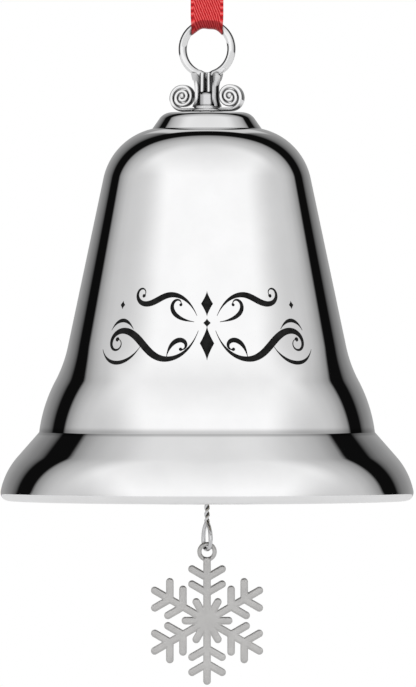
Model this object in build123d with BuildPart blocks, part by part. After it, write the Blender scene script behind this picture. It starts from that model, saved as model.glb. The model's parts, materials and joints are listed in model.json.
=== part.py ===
"""Hanging bell ornament: a cast, plated bell on a ribbon, with a clapper and a snowflake charm.

The frame: the origin is the point inside the top of the ribbon loop that rests on the hook,
+Z is up, -Y is the front and X runs left to right. Everything else hangs below the origin,
except the ribbon's knot and its two tails. Sketches on `front`, `ribbon_side` and `casting`
count their second coordinate from the rim of the bell, so a height of 0 is the rim.
"""
from build123d import *
from math import cos, degrees, radians, sin, tan
import os

os.makedirs("parts", exist_ok=True)

# ---- driving dimensions, millimetres and degrees ----
RIM_R = 38.1                # the rim is 76.2 mm (3 in) across
WALL = 1.2
LIP_THICK = 2.2
LIP_HEIGHT = 3.0
LIP_BEAD_R = 1.05
LIP_BEAD_SET_IN = 0.25      # the bead's outer face, inside the rim's widest point
HOLE_CLEARANCE = 0.15
THREAD_CLEARANCE = 0.02

RIDGE_HEIGHT = 12.55        # where the flared skirt meets the body
RIDGE_R = 30.98
NECK_HEIGHT = 68.5          # where the shoulder meets the crown cap
NECK_R = 10.15
CROWN_HEIGHT = 71.6         # the flat top of the crown

TURN = 19.0                 # the casting on top is screwed down this far off square
RING_R = 4.75               # middle of the hanging ring's bar
RING_BAR = 1.4              # radial thickness of the bar
RING_DEPTH = 2.2
RING_CORNER = 0.35
RING_HEIGHT = 83.3          # centre of the hanging ring

RIBBON_WIDTH = 6.35         # a quarter-inch ribbon
RIBBON_THICK = 0.35
HANG_HEIGHT = 148.75        # the hook, 60 mm above the top of the ring
HOOK_R = 1.6                # room for a hook's wire between the two strands
KNOT_SIZE = (8.4, 5.0, 6.6)
TAIL_LENGTH = 15.0

EYE_HEIGHT = 64.0           # centre of the eye screw's eye
EYE_R = 1.9
EYE_WIRE = 1.2
SCREW_R = 1.5
LINK_R = 2.4                # jump ring between the eye and the clapper
LINK_WIRE = 0.9
CLAPPER_WIRE = 0.75
BALL_R = 7.2
BALL_HEIGHT = 19.0
LOOP_TURN = 28.0            # the clapper's lower loop is turned this far from square
LOOP_BOTTOM = -9.4
PLAY = 0.12                 # space between two links that hang in each other
CHARM_PLAY = 0.2

CHARM_HEIGHT = -22.16       # centre of the snowflake
CHARM_THICK = 1.2
ARM_REACH = 11.14
ARM_WIDTH = 1.4

# ---- planes: the rim's centre is their origin, so sketch heights count from the rim ----
rim_centre = Vector(0, 0, -HANG_HEIGHT)
across = Vector(cos(radians(TURN)), -sin(radians(TURN)), 0)     # along the ring's face
through = Vector(sin(radians(TURN)), cos(radians(TURN)), 0)     # along the ring's axis
front = Plane(rim_centre, x_dir=(1, 0, 0), z_dir=(0, -1, 0))
side = Plane(rim_centre, x_dir=(0, 1, 0), z_dir=(1, 0, 0))
casting = Plane(rim_centre, x_dir=across, z_dir=-through)
ribbon_side = Plane(rim_centre, x_dir=through, z_dir=across)


def level(height):
    """The horizontal plane at a height above the rim."""
    return Plane.XY.offset(height - HANG_HEIGHT)


def along(angle):
    """A direction that leans inwards from straight up by an angle, in a sketch."""
    return (-sin(radians(angle)), cos(radians(angle)))


# ---- bell shell ----
LIP_CORNER_R = 1.5
SKIRT_R, SKIRT_LOW, SKIRT_LEAN = 13.5, 11.3, 41.3
BULGE_R, BULGE_LOW, BULGE_HIGH = 27.5, 7.0, 28.0
WAIST_R, BODY_LEAN = 24.0, 12.0
SHOULDER_R, SHOULDER_TOP = 11.8, 77.3
SHOULDER_START = (19.11, 59.5)
CAP_LEAN, CAP_CORNER_R = 35.0, 2.7
CAP_RISE = CROWN_HEIGHT - NECK_HEIGHT - CAP_CORNER_R * (1 - sin(radians(CAP_LEAN)))
CAP_SIDE = CAP_RISE / cos(radians(CAP_LEAN))


def offset_start(point, angle, inset):
    """A start point moved inwards, square to an outline that leans by an angle."""
    return (point[0] - inset * cos(radians(angle)), point[1] - inset * sin(radians(angle)))


def bell_section(inset):
    """Half of the bell's section, moved inwards by an inset: skirt, body and crown cap."""
    floor = 0 if inset == 0 else -1
    lip_centre = (RIM_R - LIP_CORNER_R, LIP_CORNER_R)
    lip_side = offset_start(lip_centre, SKIRT_LOW, inset - LIP_CORNER_R)
    ridge = offset_start((RIDGE_R, RIDGE_HEIGHT), BULGE_LOW, inset)
    shoulder_start = offset_start(SHOULDER_START, BODY_LEAN, inset)
    neck = offset_start((NECK_R, NECK_HEIGHT), CAP_LEAN, inset)
    neck_bottom = (neck[0], neck[1] - 0.3 - 1.5 * inset)
    with BuildSketch(front) as section:
        with BuildLine():
            skirt = JernArc(lip_side, along(SKIRT_LOW), SKIRT_R - inset, SKIRT_LEAN - SKIRT_LOW)
            lean_length = (RIDGE_HEIGHT - (skirt @ 1).Y) / cos(radians(SKIRT_LEAN)) + 2 * inset
            lean = PolarLine(skirt @ 1, lean_length, 90 + SKIRT_LEAN)
            if inset == 0:
                lip = CenterArc(lip_centre, LIP_CORNER_R, -90, 90 + SKIRT_LOW)
                Polyline(lean @ 1, (0, (lean @ 1).Y), (0, floor), lip @ 0)
            else:
                Polyline(lean @ 1, (0, (lean @ 1).Y), (0, floor), (lip_side[0], floor), lip_side)
        make_face()
        with BuildLine():
            bulge = JernArc(ridge, along(BULGE_LOW), BULGE_R - inset, BULGE_HIGH - BULGE_LOW)
            waist = JernArc(bulge @ 1, along(BULGE_HIGH), WAIST_R + inset, BODY_LEAN - BULGE_HIGH)
            Line(waist @ 1, shoulder_start)
            shoulder = JernArc(shoulder_start, along(BODY_LEAN), SHOULDER_R - inset,
                               SHOULDER_TOP - BODY_LEAN)
            Polyline(shoulder @ 1, (0, (shoulder @ 1).Y), (0, ridge[1]), ridge)
        make_face()
        with BuildLine():
            wall = PolarLine(neck, CAP_SIDE, 90 + CAP_LEAN)
            corner = JernArc(wall @ 1, along(CAP_LEAN), CAP_CORNER_R - inset, 90 - CAP_LEAN)
            Polyline(corner @ 1, (0, (corner @ 1).Y), (0, neck_bottom[1]), neck_bottom, neck)
        make_face()
    return section.sketch


with BuildPart() as bell_shell:
    revolve(bell_section(0).faces(), axis=Axis.Z)
    revolve(bell_section(WALL).faces(), axis=Axis.Z, mode=Mode.SUBTRACT)
    with BuildSketch(front):
        with Locations((RIM_R - LIP_BEAD_SET_IN - LIP_THICK / 2, LIP_HEIGHT / 2)):
            RectangleRounded(LIP_THICK, LIP_HEIGHT, LIP_BEAD_R)
    revolve(axis=Axis.Z)
    with BuildSketch(level(CROWN_HEIGHT - 3)):
        Circle(SCREW_R + HOLE_CLEARANCE)
    extrude(amount=4, mode=Mode.SUBTRACT)

# ---- scroll finial: collar, fluted stem, two scrolls and the hanging ring in one casting ----
COLLAR_R = 2.95
COLLAR_TOP = CROWN_HEIGHT + 1.2
STEM_TOP = RING_HEIGHT - RING_R
STEM_DEPTH = 2.8
STEM_WAIST = 75.5           # height of the stem's narrowest place
STEM_HALF_WIDTHS = (2.2, 2.15, 2.6)     # at the collar, at the waist and under the ring
FLUTE_HEIGHT = 76.35        # middle of the three flutes
FLUTE_LENGTH, FLUTE_WIDTH, FLUTE_DEPTH = 3.4, 0.35, 0.35
FLUTE_X = 0.85              # the outer flutes, off the middle one
SCROLL_X = 4.6
SCROLL_HEIGHT = 74.25
SCROLL_STRIP = 0.68
SCROLL_DEPTH = 2.0
SCROLL_RADII = (2.14, 1.71, 1.28, 0.85, 0.45)   # half turns, from the outside in
SOCKET_DEPTH = 4.0
ring_centre = rim_centre + Vector(0, 0, RING_HEIGHT)
ring_axis = Axis(ring_centre, through)


def scroll(sign):
    """One volute: half turns of falling radius that start under the stem and run outwards."""
    low = SCROLL_HEIGHT - SCROLL_RADII[0]
    with BuildSketch(casting) as volute:
        with BuildLine():
            Line((sign * (COLLAR_R - 1), low), (sign * SCROLL_X, low))
            end = (sign * SCROLL_X, low)
            heading = (sign, 0)
            for radius in SCROLL_RADII:
                half_turn = JernArc(end, heading, radius, sign * 180)
                end = half_turn @ 1
                heading = half_turn % 1
        trace(line_width=SCROLL_STRIP)
    return volute.sketch


with BuildPart() as scroll_finial:
    with BuildSketch(Plane(ring_centre, x_dir=through, z_dir=across)):
        with Locations((0, RING_R)):
            RectangleRounded(RING_DEPTH, RING_BAR, RING_CORNER)
    revolve(axis=ring_axis)
    with BuildSketch(casting):
        with BuildLine():
            at_collar, at_waist, at_ring = STEM_HALF_WIDTHS
            stem_side = [(at_collar, COLLAR_TOP - 0.2), (at_waist, STEM_WAIST),
                         (at_ring, STEM_TOP - 0.1)]
            Polyline(*stem_side, *[(-x, height) for x, height in reversed(stem_side)], close=True)
        make_face()
        with Locations((0, RING_HEIGHT)):
            Circle(RING_R, mode=Mode.SUBTRACT)
    extrude(amount=STEM_DEPTH / 2, both=True)
    for face in (1, -1):
        with BuildSketch(casting.offset(face * STEM_DEPTH / 2)):
            for flute_x in (-FLUTE_X, 0, FLUTE_X):
                with Locations((flute_x, FLUTE_HEIGHT)):
                    SlotOverall(FLUTE_LENGTH, FLUTE_WIDTH, rotation=90)
        extrude(amount=-face * FLUTE_DEPTH, mode=Mode.SUBTRACT)
    for sign in (1, -1):
        extrude(scroll(sign).faces(), amount=SCROLL_DEPTH / 2, both=True)
    with BuildSketch(front):
        with Locations((COLLAR_R / 2, (CROWN_HEIGHT + COLLAR_TOP) / 2)):
            RectangleRounded(COLLAR_R, COLLAR_TOP - CROWN_HEIGHT, 0.3)
    revolve(axis=Axis.Z)
    with BuildSketch(level(CROWN_HEIGHT)):
        Circle(SCREW_R + THREAD_CLEARANCE)
    extrude(amount=SOCKET_DEPTH, mode=Mode.SUBTRACT)

# ---- fixings under the crown ----
CROWN_UNDER = CROWN_HEIGHT - WALL
WASHER_THICK = 0.7
NUT_THICK = 2.4
NUT_ACROSS = 5.5

with BuildPart() as crown_washer:
    with BuildSketch(level(CROWN_UNDER - WASHER_THICK)):
        Circle(3.5)
        Circle(SCREW_R + 0.1, mode=Mode.SUBTRACT)
    extrude(amount=WASHER_THICK)
    chamfer(crown_washer.edges().group_by(Axis.Z)[0].sort_by(SortBy.RADIUS)[-1], 0.15)

with BuildPart() as crown_nut:
    with BuildSketch(level(CROWN_UNDER - WASHER_THICK - NUT_THICK)):
        RegularPolygon(NUT_ACROSS / 2, 6, major_radius=False)
        Circle(SCREW_R + THREAD_CLEARANCE, mode=Mode.SUBTRACT)
    extrude(amount=NUT_THICK)

with BuildPart() as eye_screw:
    with BuildSketch(level(EYE_HEIGHT + EYE_R)):
        Circle(SCREW_R)
    extrude(amount=CROWN_HEIGHT + SOCKET_DEPTH - 0.4 - EYE_HEIGHT - EYE_R)
    chamfer(eye_screw.edges().group_by(Axis.Z)[-1], 0.3)
    with BuildSketch(side):
        with Locations((0, EYE_HEIGHT + EYE_R)):
            Circle(EYE_WIRE / 2)
    revolve(axis=Axis(rim_centre + Vector(0, 0, EYE_HEIGHT), (0, 1, 0)))

# ---- clapper link: a jump ring with its closed gap, square to the eye ----
EYE_BAR_HEIGHT = EYE_HEIGHT - EYE_R
LINK_HEIGHT = EYE_BAR_HEIGHT + (EYE_WIRE + LINK_WIRE) / 2 + PLAY - LINK_R
LINK_GAP = 0.15
link_centre = rim_centre + Vector(0, 0, LINK_HEIGHT)

with BuildPart() as clapper_link:
    with BuildSketch(front):
        with Locations((0, LINK_HEIGHT + LINK_R)):
            Circle(LINK_WIRE / 2)
    revolve(axis=Axis(link_centre, (1, 0, 0)))
    with BuildSketch(side):
        with Locations((LINK_R, LINK_HEIGHT)):
            Rectangle(2 * LINK_WIRE, LINK_GAP)
    extrude(amount=LINK_WIRE, both=True, mode=Mode.SUBTRACT)

# ---- clapper: a bent wire with a twisted-off loop at each end, a ball and its two stops ----
LINK_BAR_HEIGHT = LINK_HEIGHT - LINK_R
TOP_LOOP_R = 1.4
TOP_LOOP_HEIGHT = LINK_BAR_HEIGHT + (LINK_WIRE + CLAPPER_WIRE) / 2 + PLAY - TOP_LOOP_R
WRAP_R = 0.62
WRAP_LENGTH = 3.6
LOOP_R = 1.35               # both ends of the lower loop, to the middle of the wire
LOOP_TOP = -4.1
loop_face = Vector(sin(radians(LOOP_TURN)), -cos(radians(LOOP_TURN)), 0)
loop_normal = loop_face.cross(Vector(0, 0, 1))
bend_low = rim_centre + Vector(0, 0, LOOP_BOTTOM + CLAPPER_WIRE / 2 + LOOP_R)
bend_high = rim_centre + Vector(0, 0, LOOP_TOP - LOOP_R)

with BuildPart() as clapper_wire:
    with BuildSketch(side):
        with Locations((0, TOP_LOOP_HEIGHT + TOP_LOOP_R)):
            Circle(CLAPPER_WIRE / 2)
    revolve(axis=Axis(rim_centre + Vector(0, 0, TOP_LOOP_HEIGHT), (0, 1, 0)))
    with BuildSketch(level(LOOP_TOP)):
        Circle(CLAPPER_WIRE / 2)
    extrude(amount=TOP_LOOP_HEIGHT - TOP_LOOP_R - LOOP_TOP)
    for wrap_low in (TOP_LOOP_HEIGHT - TOP_LOOP_R - CLAPPER_WIRE / 4 - WRAP_LENGTH, LOOP_TOP):
        with BuildSketch(level(wrap_low)):
            Circle(WRAP_R)
        extrude(amount=WRAP_LENGTH)
    for sign in (1, -1):
        with BuildSketch(Plane(bend_low + loop_face * sign * LOOP_R)):
            Circle(CLAPPER_WIRE / 2)
        extrude(amount=(bend_high - bend_low).Z)
    for bend_centre, half_turn in ((bend_low, -180), (bend_high, 180)):
        with BuildSketch(Plane(bend_centre + loop_face * LOOP_R)):
            Circle(CLAPPER_WIRE / 2)
        revolve(axis=Axis(bend_centre, loop_normal), revolution_arc=half_turn)

with BuildPart() as clapper_ball:
    with Locations((0, 0, BALL_HEIGHT - HANG_HEIGHT)):
        Sphere(BALL_R)
    with BuildSketch(level(BALL_HEIGHT - BALL_R)):
        Circle(CLAPPER_WIRE / 2 + 0.03)
    extrude(amount=2 * BALL_R, mode=Mode.SUBTRACT)

STOP_R = 0.95
STOP_LENGTH = 1.6
ball_face = BALL_R + 0.02
stop_levels = {"upper_stop": BALL_HEIGHT + ball_face, "lower_stop": BALL_HEIGHT - ball_face - STOP_LENGTH}
stops = []
for stop_name, stop_low in stop_levels.items():
    with BuildPart() as stop:
        with BuildSketch(level(stop_low)):
            Circle(STOP_R)
            Circle(CLAPPER_WIRE / 2 + 0.02, mode=Mode.SUBTRACT)
        extrude(amount=STOP_LENGTH)
        chamfer(stop.edges().filter_by(GeomType.CIRCLE).sort_by(SortBy.RADIUS)[-2:], 0.2)
    stop.part.label = stop_name
    stops.append(stop.part)

# ---- snowflake charm ----
CHARM_EYE_R = 1.8
CHARM_EYE_HOLE_R = 1.0
CHARM_EYE_THICK = 0.7
CHARM_EYE_HEIGHT = LOOP_BOTTOM + CLAPPER_WIRE + CHARM_PLAY - CHARM_EYE_HOLE_R
BRANCH_PLACES = (5.13, 7.92)
BRANCH_LENGTH = 3.2
STUB_REACH = 3.99
HUB_R = 2.1

with BuildPart() as snowflake_charm:
    with BuildSketch(front):
        with Locations((0, CHARM_HEIGHT)):
            Circle(HUB_R)
            with PolarLocations(0, 6, start_angle=30):
                with Locations((ARM_REACH / 2, 0)):
                    SlotCenterToCenter(ARM_REACH, ARM_WIDTH)
                for place in BRANCH_PLACES:
                    for lean in (60, -60):
                        tip = Vector(place + BRANCH_LENGTH * cos(radians(lean)),
                                     BRANCH_LENGTH * sin(radians(lean)))
                        with Locations(((place + tip.X) / 2, tip.Y / 2)):
                            SlotCenterToCenter(BRANCH_LENGTH, ARM_WIDTH, rotation=lean)
            with PolarLocations(0, 6):
                with Locations((STUB_REACH / 2, 0)):
                    SlotCenterToCenter(STUB_REACH, ARM_WIDTH)
    extrude(amount=CHARM_THICK / 2, both=True)
    with BuildSketch(front):
        with Locations((0, CHARM_EYE_HEIGHT)):
            Circle(CHARM_EYE_R)
    extrude(amount=CHARM_EYE_THICK / 2, both=True)
    with BuildSketch(front):
        with Locations((0, CHARM_EYE_HEIGHT)):
            Circle(CHARM_EYE_HOLE_R)
    extrude(amount=CHARM_THICK, both=True, mode=Mode.SUBTRACT)

# ---- ribbon: two strands from the knot down to the ring, and the fold round the ring's bar ----
STRAND_OUT = RING_DEPTH / 2 + 0.45 + RIBBON_THICK / 2   # strand's middle, off the ring's plane
STRAND_LOW = 89.1
KNOT_LOW = HANG_HEIGHT + 2.0
strand_route = [(0.3, KNOT_LOW), (HOOK_R + 0.35, HANG_HEIGHT - 3.2), (STRAND_OUT, STRAND_LOW)]


def strand_radius():
    """Bend radius at the hook: 0.45 of the shorter run over the tangent of half the turn."""
    runs = [Vector(*b) - Vector(*a) for a, b in zip(strand_route, strand_route[1:])]
    turn = runs[0].get_angle(runs[1])
    radius = 0.45 * min(run.length for run in runs) / tan(radians(turn / 2))
    print(f"ribbon strand: turn {turn:.1f} degrees, radius {radius:.1f} mm")
    return radius


STRAND_BEND_R = strand_radius()


def strand_section(sign):
    """One flat strand, seen from the ribbon's edge."""
    with BuildSketch(ribbon_side) as section:
        with BuildLine():
            FilletPolyline(*[(sign * out, height) for out, height in strand_route],
                           radius=STRAND_BEND_R)
        trace(line_width=RIBBON_THICK)
    return section.sketch


with BuildPart() as ribbon_front_strand:
    extrude(strand_section(-1).faces(), amount=RIBBON_WIDTH / 2, both=True)

with BuildPart() as ribbon_back_strand:
    extrude(strand_section(1).faces(), amount=RIBBON_WIDTH / 2, both=True)

BIGHT_GAP = 0.25            # space between the fold and the ring's bar
BIGHT_LEG = 0.55            # how far the fold's legs reach above the middle of the bar
bight_in = RING_DEPTH / 2 + BIGHT_GAP
bight_low = RING_R - RING_BAR / 2 - BIGHT_GAP
BIGHT_CORNER = 0.7
print(f"ribbon fold: bend radius {BIGHT_CORNER} mm round the ring's bar")
half_width_angle = degrees(RIBBON_WIDTH / 2 / RING_R)

with BuildPart() as ribbon_bight:
    with BuildSketch(Plane(ring_centre, x_dir=through, z_dir=across)):
        with BuildLine():
            FilletPolyline((-bight_in - RIBBON_THICK / 2, RING_R + BIGHT_LEG),
                           (-bight_in - RIBBON_THICK / 2, bight_low - RIBBON_THICK / 2),
                           (bight_in + RIBBON_THICK / 2, bight_low - RIBBON_THICK / 2),
                           (bight_in + RIBBON_THICK / 2, RING_R + BIGHT_LEG), radius=BIGHT_CORNER)
        trace(line_width=RIBBON_THICK)
    revolve(axis=ring_axis, revolution_arc=2 * half_width_angle)
bight_part = ribbon_bight.part.rotate(ring_axis, -half_width_angle)

with BuildPart() as ribbon_knot:
    knot_centre = Vector(0, 0, KNOT_LOW - HANG_HEIGHT + KNOT_SIZE[2] / 2)
    with BuildSketch(Plane(knot_centre, x_dir=across, z_dir=(0, 0, 1)).offset(-KNOT_SIZE[2] / 2)):
        RectangleRounded(KNOT_SIZE[0], KNOT_SIZE[1], 2.2)
    extrude(amount=KNOT_SIZE[2])
    fillet(ribbon_knot.faces().sort_by(Axis.Z)[0].edges(), 0.8)
    fillet(ribbon_knot.faces().sort_by(Axis.Z)[-1].edges(), 0.8)

TAIL_FAN = 17.0
TAIL_LOW = KNOT_LOW + KNOT_SIZE[2]
with BuildPart() as ribbon_tails:
    for sign in (1, -1):
        tail_plane = casting.offset(sign * 0.9)
        with BuildSketch(tail_plane):
            with Locations((sign * 0.6, TAIL_LOW)):
                with Locations(Location((0, 0), -sign * TAIL_FAN)):
                    with Locations((0, TAIL_LENGTH / 2)):
                        Rectangle(RIBBON_WIDTH, TAIL_LENGTH)
            with Locations((0, TAIL_LOW - 5)):
                Rectangle(20, 10, mode=Mode.SUBTRACT)
        extrude(amount=RIBBON_THICK / 2, both=True)

# ---- write each piece ----
pieces = {
    "bell_shell": bell_shell.part, "scroll_finial": scroll_finial.part,
    "crown_washer": crown_washer.part, "crown_nut": crown_nut.part, "eye_screw": eye_screw.part,
    "clapper_link": clapper_link.part, "clapper_wire": clapper_wire.part,
    "clapper_ball": clapper_ball.part, "snowflake_charm": snowflake_charm.part,
    "ribbon_front_strand": ribbon_front_strand.part,
    "ribbon_back_strand": ribbon_back_strand.part, "ribbon_bight": bight_part,
    "ribbon_knot": ribbon_knot.part, "ribbon_tails": ribbon_tails.part,
}
for stop_part in stops:
    pieces[stop_part.label] = stop_part
for name, piece in pieces.items():
    piece.label = name
    export_step(piece, f"parts/{name}.step")
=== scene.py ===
"""The looks of the hanging bell ornament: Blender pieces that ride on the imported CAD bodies.

Lengths are in millimetres inside the shape functions and turn into metres in `place`. Heights
count from the rim of the bell, as in the CAD source; -Y is the front.
"""
import json
import math

import bpy
import numpy as np
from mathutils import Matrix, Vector


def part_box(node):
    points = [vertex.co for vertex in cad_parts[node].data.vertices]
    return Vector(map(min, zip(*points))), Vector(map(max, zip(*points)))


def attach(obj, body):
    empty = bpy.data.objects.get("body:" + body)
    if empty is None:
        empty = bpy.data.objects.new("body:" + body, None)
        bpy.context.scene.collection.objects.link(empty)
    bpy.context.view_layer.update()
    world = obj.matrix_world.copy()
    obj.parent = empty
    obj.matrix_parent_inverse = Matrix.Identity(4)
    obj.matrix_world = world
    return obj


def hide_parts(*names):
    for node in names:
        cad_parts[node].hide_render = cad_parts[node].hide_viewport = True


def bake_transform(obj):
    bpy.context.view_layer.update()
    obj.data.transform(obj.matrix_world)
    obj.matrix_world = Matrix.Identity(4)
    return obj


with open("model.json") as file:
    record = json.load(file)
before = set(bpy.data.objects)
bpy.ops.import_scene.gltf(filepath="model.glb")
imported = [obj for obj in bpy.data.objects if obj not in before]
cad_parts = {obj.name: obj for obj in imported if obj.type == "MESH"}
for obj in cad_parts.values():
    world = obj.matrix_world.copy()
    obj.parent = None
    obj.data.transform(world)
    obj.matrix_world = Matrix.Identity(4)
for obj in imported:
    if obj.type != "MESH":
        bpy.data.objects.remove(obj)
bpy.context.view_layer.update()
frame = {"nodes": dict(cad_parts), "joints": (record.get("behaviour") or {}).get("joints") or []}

MM = 0.001                  # metres
rim_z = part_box("bell_shell")[0][2]
joints = {j["name"]: j for j in frame["joints"]}
ring_z = joints["bell_sway"]["pos_m"][2]
RING_HEIGHT = (ring_z - rim_z) / MM
HANG_HEIGHT = -rim_z / MM
THROUGH = Vector(joints["bell_sway"]["axis"])     # along the ring's axis, away from the front
ACROSS = Vector(joints["bell_nod"]["axis"])       # along the ring's face, to the right
UP = Vector((0, 0, 1))


def place(x, y, height):
    """A point in the row frame from millimetres right, back and above the rim."""
    return Vector((x * MM, y * MM, rim_z + height * MM))


def place_turned(u, v, height):
    """The same, with u along the ring's face and v along the ring's axis."""
    return ACROSS * (u * MM) + THROUGH * (v * MM) + UP * (rim_z + height * MM)


def smooth(low, high, value):
    """0 below low, 1 above high, and a smooth step between them."""
    t = min(1.0, max(0.0, (value - low) / (high - low)))
    return t * t * (3 - 2 * t)


def mesh_piece(name, points, faces, material, uvs=None, flat=False):
    """A mesh object from points in the row frame."""
    mesh = bpy.data.meshes.new(name)
    mesh.from_pydata([tuple(p) for p in points], [], faces)
    mesh.validate()
    if uvs is not None:
        layer = mesh.uv_layers.new(name="weave")
        for loop in mesh.loops:
            layer.data[loop.index].uv = uvs[loop.vertex_index]
    mesh.polygons.foreach_set("use_smooth", [not flat] * len(mesh.polygons))
    mesh.materials.append(material)
    obj = bpy.data.objects.new(name, mesh)
    bpy.context.scene.collection.objects.link(obj)
    return obj


def joined(name, objects):
    """One object from several meshes."""
    bpy.ops.object.select_all(action="DESELECT")
    for obj in objects:
        obj.select_set(True)
    bpy.context.view_layer.objects.active = objects[0]
    bpy.ops.object.join()
    objects[0].name = name
    objects[0].data.name = name
    return objects[0]


def round_section(radius, sides):
    """The corners of a circle."""
    return [(radius * math.cos(2 * math.pi * i / sides), radius * math.sin(2 * math.pi * i / sides))
            for i in range(sides)]


def tube_faces(rows, columns, wrap=False, flip=False):
    """Quads over rows of points, each row a closed ring; wrap joins the last row to the first."""
    faces = []
    for i in range(rows if wrap else rows - 1):
        for j in range(columns):
            a = i * columns + j
            b = i * columns + (j + 1) % columns
            c = (i + 1) % rows * columns + (j + 1) % columns
            d = (i + 1) % rows * columns + j
            faces.append((d, c, b, a) if flip else (a, b, c, d))
    return faces


def tube_ends(rows, columns, flip=False):
    """The faces that close a tube's first and last row."""
    first, last = range(columns), range((rows - 1) * columns, rows * columns)
    return [tuple(first), tuple(reversed(last))] if flip else [tuple(reversed(first)), tuple(last)]


# ---------------------------------------------------------------- camera
VIEW_TALL = 126.75          # height of the view at the bell's axis, mm
CAMERA_AWAY = 1490.0
SENSOR = 36.0               # the same unit as the lens, mm
VIEW_MIDDLE = 28.97         # above the rim
VIEW_RIGHT = 0.18           # of the bell's axis

camera_data = bpy.data.cameras.new("camera")
camera_data.sensor_width = SENSOR
camera_data.lens = SENSOR * CAMERA_AWAY / VIEW_TALL
camera_data.clip_start = 0.05
camera_data.clip_end = 20
camera = bpy.data.objects.new("camera", camera_data)
camera.location = place(VIEW_RIGHT, -CAMERA_AWAY, VIEW_MIDDLE)
camera.rotation_euler = (math.pi / 2, 0, 0)
bpy.context.scene.collection.objects.link(camera)
bpy.context.scene.camera = camera
bpy.context.scene.view_settings.view_transform = "Standard"


# ---------------------------------------------------------------- node helpers
def new_material(name):
    """A material with its node tree and its Principled shader."""
    material = bpy.data.materials.new(name)
    material.use_nodes = True
    tree = material.node_tree
    return material, tree, tree.nodes["Principled BSDF"]


def feed(tree, made, inputs):
    """Give a node its inputs, which are values or other nodes' outputs."""
    for key, value in inputs.items():
        if isinstance(value, bpy.types.NodeSocket):
            tree.links.new(value, made.inputs[key])
        else:
            made.inputs[key].default_value = value


def node(tree, kind, inputs=None, **settings):
    """A node with its settings and its inputs."""
    made = tree.nodes.new(kind)
    for key, value in settings.items():
        setattr(made, key, value)
    feed(tree, made, inputs or {})
    return made


def noise(tree, where, scale, detail):
    return node(tree, "ShaderNodeTexNoise",
                {"Vector": where, "Scale": scale, "Detail": detail}).outputs[0]


def bump(tree, height, strength, distance):
    return node(tree, "ShaderNodeBump",
                {"Strength": strength, "Distance": distance, "Height": height}).outputs[0]


def math_node(tree, operation, a, b=0.0, c=0.0):
    return node(tree, "ShaderNodeMath", {0: a, 1: b, 2: c}, operation=operation).outputs[0]


def ramp(tree, factor, stops, interpolation="LINEAR"):
    """A colour ramp through (position, colour) stops."""
    made = node(tree, "ShaderNodeValToRGB", {0: factor})
    made.color_ramp.interpolation = interpolation
    elements = made.color_ramp.elements
    while len(elements) < len(stops):
        elements.new(0.5)
    for element, (position, colour) in zip(elements, stops):
        element.position = position
        element.color = (*colour, 1)
    return made.outputs[0]


def wave(tree, value, period):
    """A value's sine of the given period, from 0 to 1."""
    phase = math_node(tree, "MULTIPLY", value, 2 * math.pi / period)
    return math_node(tree, "MULTIPLY_ADD", math_node(tree, "SINE", phase), 0.5, 0.5)


def grey(value):
    return (value, value, value)


def band(tree, value, low, high):
    """A smooth step of a value from 0 at low to 1 at high."""
    made = node(tree, "ShaderNodeMapRange", {0: value, 1: low, 2: high, 3: 0.0, 4: 1.0},
                interpolation_type="SMOOTHSTEP")
    return made.outputs[0]


def mix_colours(tree, factor, first, second, blend_type="MIX"):
    return node(tree, "ShaderNodeMix", {0: factor, 6: first, 7: second}, data_type="RGBA",
                blend_type=blend_type).outputs[2]


# ---------------------------------------------------------------- studio light
# grey of the studio by its angle from the front, in degrees, with the black flag in the middle
AROUND = ((0, 0.625), (90, 0.61), (99, 0.56), (107, 0.44), (114.5, 0.27), (117.5, 0.004),
          (132.5, 0.004), (136, 0.10), (142, 0.19), (160, 0.33), (180, 0.42))
# strength of the front softbox by the height of its direction
OVERHEAD = ((0.0, 1), (0.45, 1), (0.72, 0.75), (0.945, 0.50), (1.0, 0.32))
CARD_GREY = 0.6


def make_world():
    """A soft white studio: a wide white softbox in front, pale grey overhead, a black flag
    all round behind the object's sides, grey behind it and a small card high behind it."""
    world = bpy.data.worlds.new("studio")
    world.use_nodes = True
    tree = world.node_tree
    background = tree.nodes["Background"]
    direction = node(tree, "ShaderNodeTexCoord").outputs["Generated"]
    parts = node(tree, "ShaderNodeSeparateXYZ", {0: direction})
    x, y, z = parts.outputs
    from_front = math_node(tree, "ARCCOSINE", math_node(tree, "MULTIPLY", y, -1.0))
    turn = math_node(tree, "DIVIDE", from_front, math.pi)
    around = ramp(tree, turn, [(angle / 180, grey(tone)) for angle, tone in AROUND])
    sideways = band(tree, math_node(tree, "ABSOLUTE", x), 0.99, 0.62)
    forward = band(tree, y, 0.15, -0.15)
    high = ramp(tree, z, [(height, grey(tone)) for height, tone in OVERHEAD])
    box = math_node(tree, "MULTIPLY", math_node(tree, "MULTIPLY", sideways, forward), high)
    lit = mix_colours(tree, box, around, (*grey(1.0), 1))
    narrow = band(tree, math_node(tree, "ABSOLUTE", x), 0.22, 0.16)
    behind_high = math_node(tree, "MULTIPLY", band(tree, z, 0.36, 0.46), band(tree, y, 0.67, 0.71))
    card = math_node(tree, "MULTIPLY", narrow, behind_high)
    lit = mix_colours(tree, card, lit, (*grey(CARD_GREY), 1))
    seen = node(tree, "ShaderNodeLightPath").outputs["Is Camera Ray"]
    shown = mix_colours(tree, seen, lit, (*grey(1.0), 1))
    tree.links.new(shown, background.inputs["Color"])
    bpy.context.scene.world = world


FLOOR_BELOW = 130.0         # under the lowest point of the charm, mm
FLOOR_R = 2600.0
FLOOR_SIDES = 128


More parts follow.
